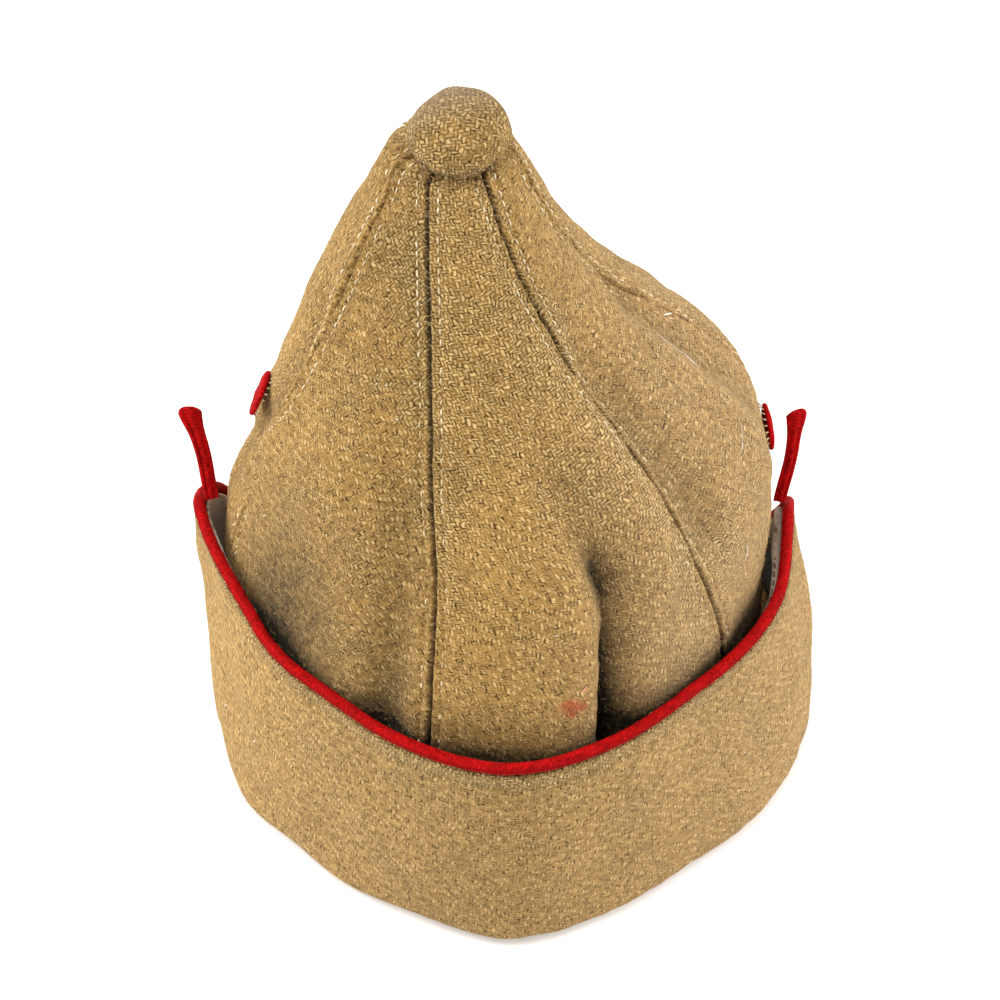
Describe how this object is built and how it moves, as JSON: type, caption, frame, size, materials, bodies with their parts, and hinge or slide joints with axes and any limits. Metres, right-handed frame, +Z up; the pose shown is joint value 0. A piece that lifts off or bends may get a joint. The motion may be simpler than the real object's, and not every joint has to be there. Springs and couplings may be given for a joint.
{
  "type": "budenovka",
  "caption": "Pointed cloth cap sewn from gores, with a covered top button, a short peak and a nape flap with red piping folded up around the back.",
  "frame": {"origin": "middle of the footprint on the surface that the cap rests on", "axes": "+Z up, toward the pointed top; +Y forward, toward the peak; +X toward the wearer's right"},
  "size_m": [0.2152, 0.2694, 0.2391],
  "materials": {
    "wool_twill": "khaki wool, coarse herringbone twill, partly felted",
    "felted_wool": "khaki wool cloth with a felted nap",
    "flannel": "grey-beige cotton flannel",
    "red_wool": "red wool cloth"
  },
  "bodies": {
    "root": {"gore_back": "wool_twill", "gore_back_left": "wool_twill", "gore_back_right": "wool_twill", "gore_front_left": "wool_twill", "gore_front": "wool_twill", "gore_front_right": "wool_twill", "top_button": "wool_twill", "flap_cloth": "felted_wool", "flap_lining": "flannel", "flap_piping": "red_wool", "loop_left": "red_wool", "loop_right": "red_wool", "side_button_left": "red_wool", "side_button_right": "red_wool", "peak": "felted_wool"}
  },
  "joints": []
}
